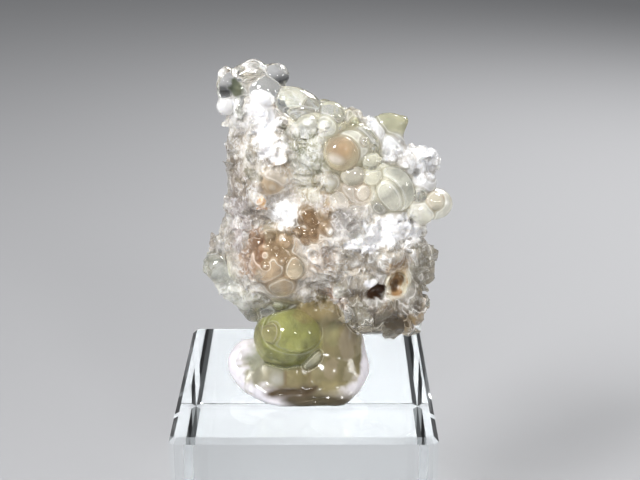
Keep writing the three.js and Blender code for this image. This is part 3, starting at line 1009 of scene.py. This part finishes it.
# The milky matter inside, given in the same way but with colours alone
MILK_LUMPS = [
    (-2.2, 0.4, 13.6, 4.7, 4.1, 4.2, (0.82, 0.74, 0.66)),
    (2.4, 0.4, 16.2, 5.9, 4.5, 5.8, (0.84, 0.8, 0.76)),
    (6.4, 0.6, 13.4, 4.4, 3.9, 4.9, (0.78, 0.75, 0.7)),
    (-3, 0.4, 22, 3.3, 3.3, 5.3, (0.86, 0.8, 0.78)),
    (-4.3, 0.4, 27.4, 1.6, 1.8, 2.3, (0.94, 0.92, 0.93)),
    (1.4, 0.6, 23.8, 3.7, 3, 3.1, (0.62, 0.6, 0.48)),
    (6.9, 0.8, 20.4, 3.1, 2.9, 3.1, (0.82, 0.81, 0.74)),
    (7.2, 0.4, 9.8, 3, 3.2, 2.9, (0.7, 0.64, 0.55)),
    (-1.5, -1, 5.6, 2.5, 2.2, 2.2, (0.42, 0.43, 0.19)),
    (2.3, -0.2, 4.6, 2, 2.3, 3.2, (0.45, 0.39, 0.25)),
    (1.2, 0.2, 8, 2.5, 2.6, 2.6, (0.46, 0.39, 0.24)),
    (8, 0, 25.4, 0.6, 0.7, 1, (0.74, 0.72, 0.58)),
    (10.7, 0.2, 22, 0.9, 0.9, 1.2, (0.95, 0.94, 0.95)),
    (-6.6, -0.5, 11.6, 1, 0.9, 1.5, -30, (0.6, 0.62, 0.53)),
]

# Stains in the milky matter
STAINS = [
    (-2.8, -3.5, 15, 2.8, 3, 3.2, (0.6, 0.46, 0.32), 0.8),
    (0.6, -4, 18, 1.6, 2.5, 1.8, (0.42, 0.29, 0.17), 0.9),
    (-2.6, -3, 22.4, 2, 2.5, 2, (0.92, 0.8, 0.66), 0.8),
    (3.4, -3, 25.3, 1.9, 2.4, 1.8, (0.66, 0.54, 0.42), 0.9),
    (4.2, -3, 25.8, 1.1, 2.4, 1, 30, (0.5, 0.32, 0.19), 0.9),
    (1.8, -4, 15, 1.6, 2.5, 1.5, (0.8, 0.67, 0.56), 0.8),
    (3.1, -3, 10.6, 1.8, 3, 1.2, 20, (0.62, 0.42, 0.3), 0.9),
    (9.2, -1.5, 8.6, 2, 3, 1.6, (0.5, 0.38, 0.22), 0.9),
    (7.4, -3, 11.8, 1.6, 3, 1.2, (0.24, 0.15, 0.08), 0.9),
]


class Tree:
    """The nodes of a material or the world. Into a node goes a number, a colour or another node's socket."""

    def __init__(self, owner):
        owner.use_nodes = True
        self.nodes = owner.node_tree.nodes
        self.links = owner.node_tree.links

    def fill(self, node, values):
        for name, value in values.items():
            if isinstance(value, (int, float, tuple)):
                node.inputs[name].default_value = value
            else:
                self.links.new(value, node.inputs[name])

    def add(self, kind, values, **settings):
        """A new node, with its settings made and its inputs filled"""
        node = self.nodes.new("ShaderNode" + kind)
        for name, value in settings.items():
            setattr(node, name, value)
        self.fill(node, values)
        return node

    def attribute(self, name, output="Fac"):
        return self.add("Attribute", {}, attribute_name=name).outputs[output]

    def math(self, operation, first, second=0.0, clamp=False):
        return self.add("Math", {0: first, 1: second}, operation=operation, use_clamp=clamp).outputs[0]

    def times(self, first, second):
        return self.math("MULTIPLY", first, second)

    def plus(self, first, second):
        """A sum, held from 0 to 1"""
        return self.math("ADD", first, second, clamp=True)

    def ranged(self, value, low, high, to_low=0.0, to_high=1.0):
        """A value's range from low to high brought to another, and held there"""
        ends = {"From Min": low, "From Max": high, "To Min": to_low, "To Max": to_high}
        return self.add("MapRange", {"Value": value, **ends}).outputs["Result"]

    def mix(self, factor, first, second, blend="MIX"):
        """One colour laid over another"""
        values = {"Factor": factor, "A": first, "B": second}
        return self.add("Mix", values, data_type="RGBA", blend_type=blend).outputs["Result"]

    def noise(self, scale, detail, roughness, rise=1.0):
        """Noise at a scale per metre in the object's own coordinates; a rise below 1 draws it out upwards"""
        spot = self.add("TexCoord", {}).outputs["Object"]
        stretched = self.add("Mapping", {"Vector": spot, "Scale": (1.0, 1.0, rise)}).outputs["Vector"]
        values = {"Vector": stretched, "Scale": scale, "Detail": detail, "Roughness": roughness}
        return self.add("TexNoise", values).outputs["Fac"]

    def folds(self, noise):
        """Noise folded at its middle, so that it is 0 along thin lines"""
        return self.math("ABSOLUTE", self.math("SUBTRACT", noise, 0.5))

    def bump(self, strength, distance, height):
        values = {"Strength": strength, "Distance": distance, "Height": height}
        return self.add("Bump", values).outputs["Normal"]

    def shade(self, values):
        """Fill the inputs of the Principled shader"""
        self.fill(self.nodes["Principled BSDF"], values)

    def absorb(self, color, density):
        volume = self.add("VolumeAbsorption", {"Color": color, "Density": density}).outputs[0]
        self.fill(self.nodes["Material Output"], {"Volume": volume})

    def let_lamps_through(self, share):
        """A share of the lamps' light passes straight through, so that what lies inside is lit"""
        shadow = self.add("LightPath", {}).outputs["Is Shadow Ray"]
        clear = self.add("BsdfTransparent", {}).outputs[0]
        shader = self.nodes["Principled BSDF"].outputs[0]
        mixed = self.add("MixShader", {0: self.times(shadow, share), 1: shader, 2: clear}).outputs[0]
        self.fill(self.nodes["Material Output"], {"Surface": mixed})


# Noise in the materials: scale per metre, detail, roughness, and a rise if it is drawn out upwards
CLOUDS = (700, 4, 0.55)
GRAIN = (2600, 4, 0.65)
CRUMPLES = (1500, 3, 0.5)
GLINTS = (1900, 3, 0.5, 0.6)
STREAKS = (900, 3, 0.5, 0.3)
MOTTLES = (800, 6, 0.65)
MARKS = (350, 6, 0.7)
FOLD_LINE = 0.035  # a fold of noise is a line up to this value

# Ranges brought to others: from low, from high, to low, to high, the last two 0 and 1 if not given
# Ranges for the painted crease shade
DEEP_CREASE = (0.4, 0.95)
CRUST_CREASE = (0.0, 1.0, 0.7, 0.6)
MILKY_CREASE = (0.6, 1.0, 1.0, 0.3)
# Where in a crease the painted highlight outlines start and fade
OUTLINE_HIGHLIGHT_START = (0.15, 0.3)
OUTLINE_HIGHLIGHT_END = (0.35, 0.5, 1.0, 0.0)
# Ranges for painted shade in the crust's hollows, painted highlights on its crests, snow, painted glints and
# streaks
MILKY_HOLLOW_SHADE = (0.5, 1.0, 1.0, 0.12)
CREST_HIGHLIGHT_SHARE = (0.66, 0.86, 0.0, 0.8)
SNOW_SHARE = (0.52, 0.66, 0.0, 0.55)
GLINT_SHARE = (FOLD_LINE, 0.0, 0.0, 0.8)
STREAK_SHADE = (0.3, 0.7, 0.8, 1.08)
PAINTED_HOLLOW_SHADE = (0.2, 0.65, 0.66, 1.05)
CLOUD_MILK = (0.36, 0.64, 0.1, 0.6)
FROST = (0.45, 0.7, 0.0, 0.04)
MOTTLE_SHADE = (0.35, 0.65, 0.5, 1.0)
MARK_ROUGHNESS = (0.45, 0.75, 0.005, 0.08)
SKY_STRENGTH = (0.0, 0.9, 0.05, 0.4)

FINE_LINE = 0.5  # how strong the painted shade along the folds is, against that in the creases
LINE_MILK = 0.2  # how milky the glass is along a line of painted crease shade
LAMP_SHARE = 0.9  # the share of the lamps' light that clear matter lets straight through
CRUMPLE_DEPTH = 6.0  # how deep the crumples are in the bump, against the grain
OPAL_BUMP = 0.00012  # the depth of each bump, in metres
MILK_BUMP = 0.0003
BUMP_STRENGTH = 0.5
MILK_BUMP_STRENGTH = 0.6

# Colours laid over the stone's own: painted shade deep in a crease, painted highlight on the crust's crests,
# snow, painted highlight outlines and painted glints
PAINTED_CREASE_TONE = (0.50, 0.45, 0.36, 1)
PAINTED_CREST_HIGHLIGHT = (0.96, 0.94, 0.92, 1)
SNOW_TONE = (0.97, 0.93, 0.86, 1)
PAINTED_OUTLINE_TONE = (0.97, 0.96, 0.95, 1)
PAINTED_GLINT_TONE = (0.97, 0.97, 0.98, 1)

# What clear matter absorbs: the colour that is left, and a density per metre
OPAL_ABSORPTION = ((0.88, 0.88, 0.70, 1), 30)
ACRYLIC_ABSORPTION = ((0.85, 0.95, 0.97, 1), 6)


def painted_crease_shade(tree, crumple, crease, crust, milk):
    """Painted shade: dark lines in the creases between drops and along the crust's folds, weak where the
    glass is milky
    """
    deep = tree.times(tree.ranged(crease, *DEEP_CREASE), tree.ranged(crust, *CRUST_CREASE))
    fine = tree.times(tree.ranged(crumple, FOLD_LINE, 0.0), crust)
    line = tree.math("MAXIMUM", deep, tree.times(fine, FINE_LINE))
    return tree.times(line, tree.ranged(milk, *MILKY_CREASE))


def painted_outline_highlights(tree, crease, outline_highlight):
    """Painted highlight: pale outlines just outside the creases, as strong as the attribute given for them"""
    outer = tree.ranged(crease, *OUTLINE_HIGHLIGHT_END)
    return tree.times(tree.times(tree.ranged(crease, *OUTLINE_HIGHLIGHT_START), outer), outline_highlight)


def opal_color(tree, tint, milk, crust, cloud, pale, line):
    """The stone's colour: streaked, with painted shade in the crust's hollows, then painted highlights on its
    crests, snow, painted highlight outlines, painted crease shade and painted glints
    """
    # The colour of the painted crease shade: the tint, darkened by itself twice and by a crease tone
    deep = tint
    for tone in (tint, tint, PAINTED_CREASE_TONE):
        deep = tree.mix(1.0, deep, tone, "MULTIPLY")
    crest = tree.attribute("crest")
    # Painted shade in the crust's hollows, weaker where the glass is milky
    hollows = tree.times(crust, tree.ranged(milk, *MILKY_HOLLOW_SHADE))
    # Painted highlight on the crust's crests
    top = tree.times(tree.ranged(crest, *CREST_HIGHLIGHT_SHARE), crust)
    snow = tree.times(tree.ranged(cloud, *SNOW_SHARE), crust)
    # Painted glints along fine folds
    glint = tree.times(tree.ranged(tree.folds(tree.noise(*GLINTS)), *GLINT_SHARE), crust)
    body = tree.mix(1.0, tint, tree.ranged(tree.noise(*STREAKS), *STREAK_SHADE), "MULTIPLY")
    body = tree.mix(hollows, body, tree.ranged(crest, *PAINTED_HOLLOW_SHADE), "MULTIPLY")
    tones = ((top, PAINTED_CREST_HIGHLIGHT), (snow, SNOW_TONE), (pale, PAINTED_OUTLINE_TONE), (line, deep), (glint, PAINTED_GLINT_TONE))
    for share, tone in tones:
        body = tree.mix(share, body, tone)
    return body


def opal_material():
    """Clear to milky opal glass, by the mesh's own colour, milkiness, roughness, creases and crust, with
    painted shade and painted highlights in its colour
    """
    material = bpy.data.materials.new("opal_glass")
    tree = Tree(material)
    tint = tree.attribute("tint", "Color")
    milk, rough, crease, crust, outline_highlight = map(tree.attribute, ("milk", "rough", "crease", "crust", "outline_highlight"))
    cloud = tree.noise(*CLOUDS)
    grain = tree.noise(*GRAIN)
    crumple = tree.folds(tree.noise(*CRUMPLES))
    # Painted shade in the creases and along the folds
    line = painted_crease_shade(tree, crumple, crease, crust, milk)
    # Painted highlight outlines round the drops
    pale = painted_outline_highlights(tree, crease, outline_highlight)
    milky = milk
    for more in (tree.times(tree.ranged(cloud, *CLOUD_MILK), crust), pale, tree.times(line, LINE_MILK)):
        milky = tree.plus(milky, more)
    clear = tree.math("SUBTRACT", 1.0, milky, clamp=True)
    frost = tree.times(tree.ranged(grain, *FROST), crust)
    height = tree.math("ADD", grain, tree.times(crumple, -CRUMPLE_DEPTH))
    tree.shade({
        "Base Color": opal_color(tree, tint, milk, crust, cloud, pale, line),
        "Transmission Weight": clear,
        "Roughness": tree.plus(rough, frost),
        "IOR": 1.45,
        "Subsurface Weight": 0.25,
        "Subsurface Radius": (1.0, 0.9, 0.75),
        "Subsurface Scale": 0.0005,
        "Normal": tree.bump(tree.times(crust, BUMP_STRENGTH), OPAL_BUMP, height),
    })
    tree.let_lamps_through(tree.times(clear, LAMP_SHARE))
    tree.absorb(*OPAL_ABSORPTION)
    return material


def milk_material():
    """The milky and stained matter that shows through the clear glass"""
    material = bpy.data.materials.new("opal_milk")
    tree = Tree(material)
    mottle = tree.noise(*MOTTLES)
    tint = tree.attribute("tint", "Color")
    tree.shade({
        "Base Color": tree.mix(1.0, tint, tree.ranged(mottle, *MOTTLE_SHADE), "MULTIPLY"),
        "Roughness": 0.6,
        "Specular IOR Level": 0.1,
        "Normal": tree.bump(MILK_BUMP_STRENGTH, MILK_BUMP, mottle),
    })
    return material


def acrylic_material():
    """Polished clear acrylic with faint marks of handling"""
    material = bpy.data.materials.new("acrylic")
    tree = Tree(material)
    tree.shade({
        "Base Color": (0.97, 0.985, 0.99, 1),
        "Transmission Weight": 1.0,
        "IOR": 1.49,
        "Roughness": tree.ranged(tree.noise(*MARKS), *MARK_ROUGHNESS),
    })
    tree.let_lamps_through(LAMP_SHARE)
    tree.absorb(*ACRYLIC_ABSORPTION)
    return material


def large_lumps():
    """The stone's large lumps in groups: how softly they meet, the lumps, and what finds a lump's distance"""
    drops = seated(FRONT_DROPS + RINGED_DROPS) + caps(RINGED_DROPS)
    tables = [
        (SOFT_MEET, TRUNK + LEFT_EDGE),
        (SOFT_MEET, FOOT + rim_lumps()),
        (HEAD_MEET, HEAD + CORNER),
        (HEAD_MEET, LOWER_LEFT),
        (HEAD_MEET, BROKEN),
        (MEET, DOMES + SHOULDER + RIGHT_LOBES + drops),
    ]
    return [(soft, rows(table), to_lump) for soft, table in tables]


def small_lumps(shape):
    """Small drops and splinters in groups, set on a first, coarse surface of the shape"""
    points, _ = surface(shape, COARSE_GRID)
    field, normals, look, _ = shape.at(points)
    points = points - normals * field[:, None]
    grown = []
    for centre, radius in small_drops(points, normals):
        near = np.argmin(((points - centre) ** 2).sum(1))
        grown.append([*centre, radius, radius, radius, 0, *look[near]])
    return [
        (MEET, np.array(grown), to_lump),
        (MEET, rows(honey_drops(points, normals)), to_lump),
        (MEET, shards(points, normals), Shards(SHARD_SEED)),
    ]


def stone_look(points, look):
    """The look with stains, washes, the rim's white and soft washes laid over it, in this order; some washes
    are painted shade or a painted highlight
    """
    look = stained(points, look)
    look = washed(points, look, WASHES, WASH_EDGES)
    look = with_rim(points, look)
    return washed(points, look, SHADES, SHADE_EDGES, SHADE_FADE)


def stone():
    """The stone's surface: its large lumps with the small drops and splinters, less the pits, made uneven"""
    groups = large_lumps()
    pits = np.array([place(pit) for pit in PITS])
    groups += small_lumps(Shape(groups, pits, MEET))
    shape = Shape(groups, pits, MEET, Unevenness())
    vertices, faces = without_specks(*surface(shape, GRID))
    piece, vertices, look, crease = mesh_object("opal_glass", shape, vertices, faces, SPREAD, SHARP)
    look = stone_look(vertices, look)
    light = fade(look[:, :3].mean(1), *LIGHT_RANGE)
    broken = broken_share(vertices)
    crust = crust_share(vertices)
    plain = np.linalg.norm(vertices - PLAIN_PLACE[:3], axis=1) < PLAIN_PLACE[3]
    # How strong the painted highlight outlines round the drops are
    outline_highlight = SMOOTH_OUTLINE_HIGHLIGHT * (1 - crust) + BROKEN_OUTLINE_HIGHLIGHT * broken * light + RINGED_OUTLINE_HIGHLIGHT * in_honey(vertices)
    color_attribute(piece, "tint", look[:, :3])
    values = {
        "milk": look[:, 3],
        "rough": look[:, 4],
        "crease": crease,
        "crest": np.clip(0.5 - shape.uneven(vertices) / CREST_RANGE, 0, 1),
        "crust": light * crust * (1 - BROKEN_BARENESS * broken),
        "outline_highlight": np.where(plain, 0, outline_highlight),
    }
    for name, value in values.items():
        float_attribute(piece, name, value)
    piece.data.materials.append(opal_material())
    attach(piece, "root")
    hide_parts("opal")


def milk():
    """The milky matter inside"""
    groups = [(MILK_MEET, rows(MILK_LUMPS), to_lump)]
    shape = Shape(groups, [], MILK_MEET, lambda points: swelling(points, MILK_SWELLS))
    vertices, faces = surface(shape, MILK_GRID)
    piece, vertices, look, _ = mesh_object("opal_milk", shape, vertices, faces, MILK_SPREAD, MILK_SHARP)
    look = washed(vertices, look, STAINS, MILK_EDGES)
    color_attribute(piece, "tint", look[:, :3])
    piece.data.materials.append(milk_material())
    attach(piece, "root")


# The studio, in metres and watts
LAMPS = [
    ("key", (-0.16, -0.16, 0.22), 0.075, 0.95),
    ("back", (0.12, 0.20, 0.20), 0.08, 0.6),
    ("side", (0.24, -0.06, 0.10), 0.06, 0.16),
    ("front", (0.08, -0.20, 0.16), 0.03, 0.14),
]
LAMP_AIM = (0.002, 0, 0.04)
FLOOR_DROP = 0.0001  # the floor lies this far below the cube
CAMERA_PLACE = (0.0015, -0.1138, 0.0825)
CAMERA_PITCH = 20.5
LENS_LENGTH = 70.4  # in millimetres, for a frame as wide as
FRAME_WIDTH = 36


def add_lamp(name, spot, size, power):
    """A square area lamp, turned to the stone"""
    lamp = bpy.data.lights.new(name, "AREA")
    lamp.energy = power
    lamp.size = size
    box = bpy.data.objects.new(name, lamp)
    box.location = spot
    away = np.array(spot) - np.array(LAMP_AIM)
    box.rotation_euler = (math.acos(away[2] / np.linalg.norm(away)), 0, math.atan2(away[0], -away[1]))
    bpy.context.scene.collection.objects.link(box)


def add_surroundings():
    """A plain pale floor, and soft light from all round, brighter from above"""
    bpy.ops.mesh.primitive_plane_add(size=3, location=(0, 0, -FLOOR_DROP))
    floor = bpy.context.object
    floor.name = "floor"
    material = bpy.data.materials.new("floor")
    Tree(material).shade({"Base Color": (0.36, 0.36, 0.37, 1), "Roughness": 0.7})
    floor.data.materials.append(material)
    world = bpy.data.worlds.new("studio")
    bpy.context.scene.world = world
    tree = Tree(world)
    way = tree.add("TexCoord", {}).outputs["Generated"]
    up = tree.add("SeparateXYZ", {0: way}).outputs["Z"]
    strength = tree.ranged(up, *SKY_STRENGTH)
    tree.fill(tree.nodes["Background"], {"Color": (0.96, 0.98, 1.0, 1), "Strength": strength})


def add_camera():
    """The camera where the photograph was taken from"""
    lens = bpy.data.cameras.new("camera")
    lens.lens = LENS_LENGTH
    lens.sensor_width = FRAME_WIDTH
    lens.clip_start = 0.01
    camera = bpy.data.objects.new("camera", lens)
    camera.location = CAMERA_PLACE
    camera.rotation_euler = (math.radians(90 - CAMERA_PITCH), 0, 0)
    bpy.context.scene.collection.objects.link(camera)
    bpy.context.scene.camera = camera
    bpy.context.scene.view_settings.view_transform = "Standard"


stone()
milk()
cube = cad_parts["display_cube"]
cube.material_slots[0].material = acrylic_material()
add_surroundings()
for lamp in LAMPS:
    add_lamp(*lamp)
add_camera()
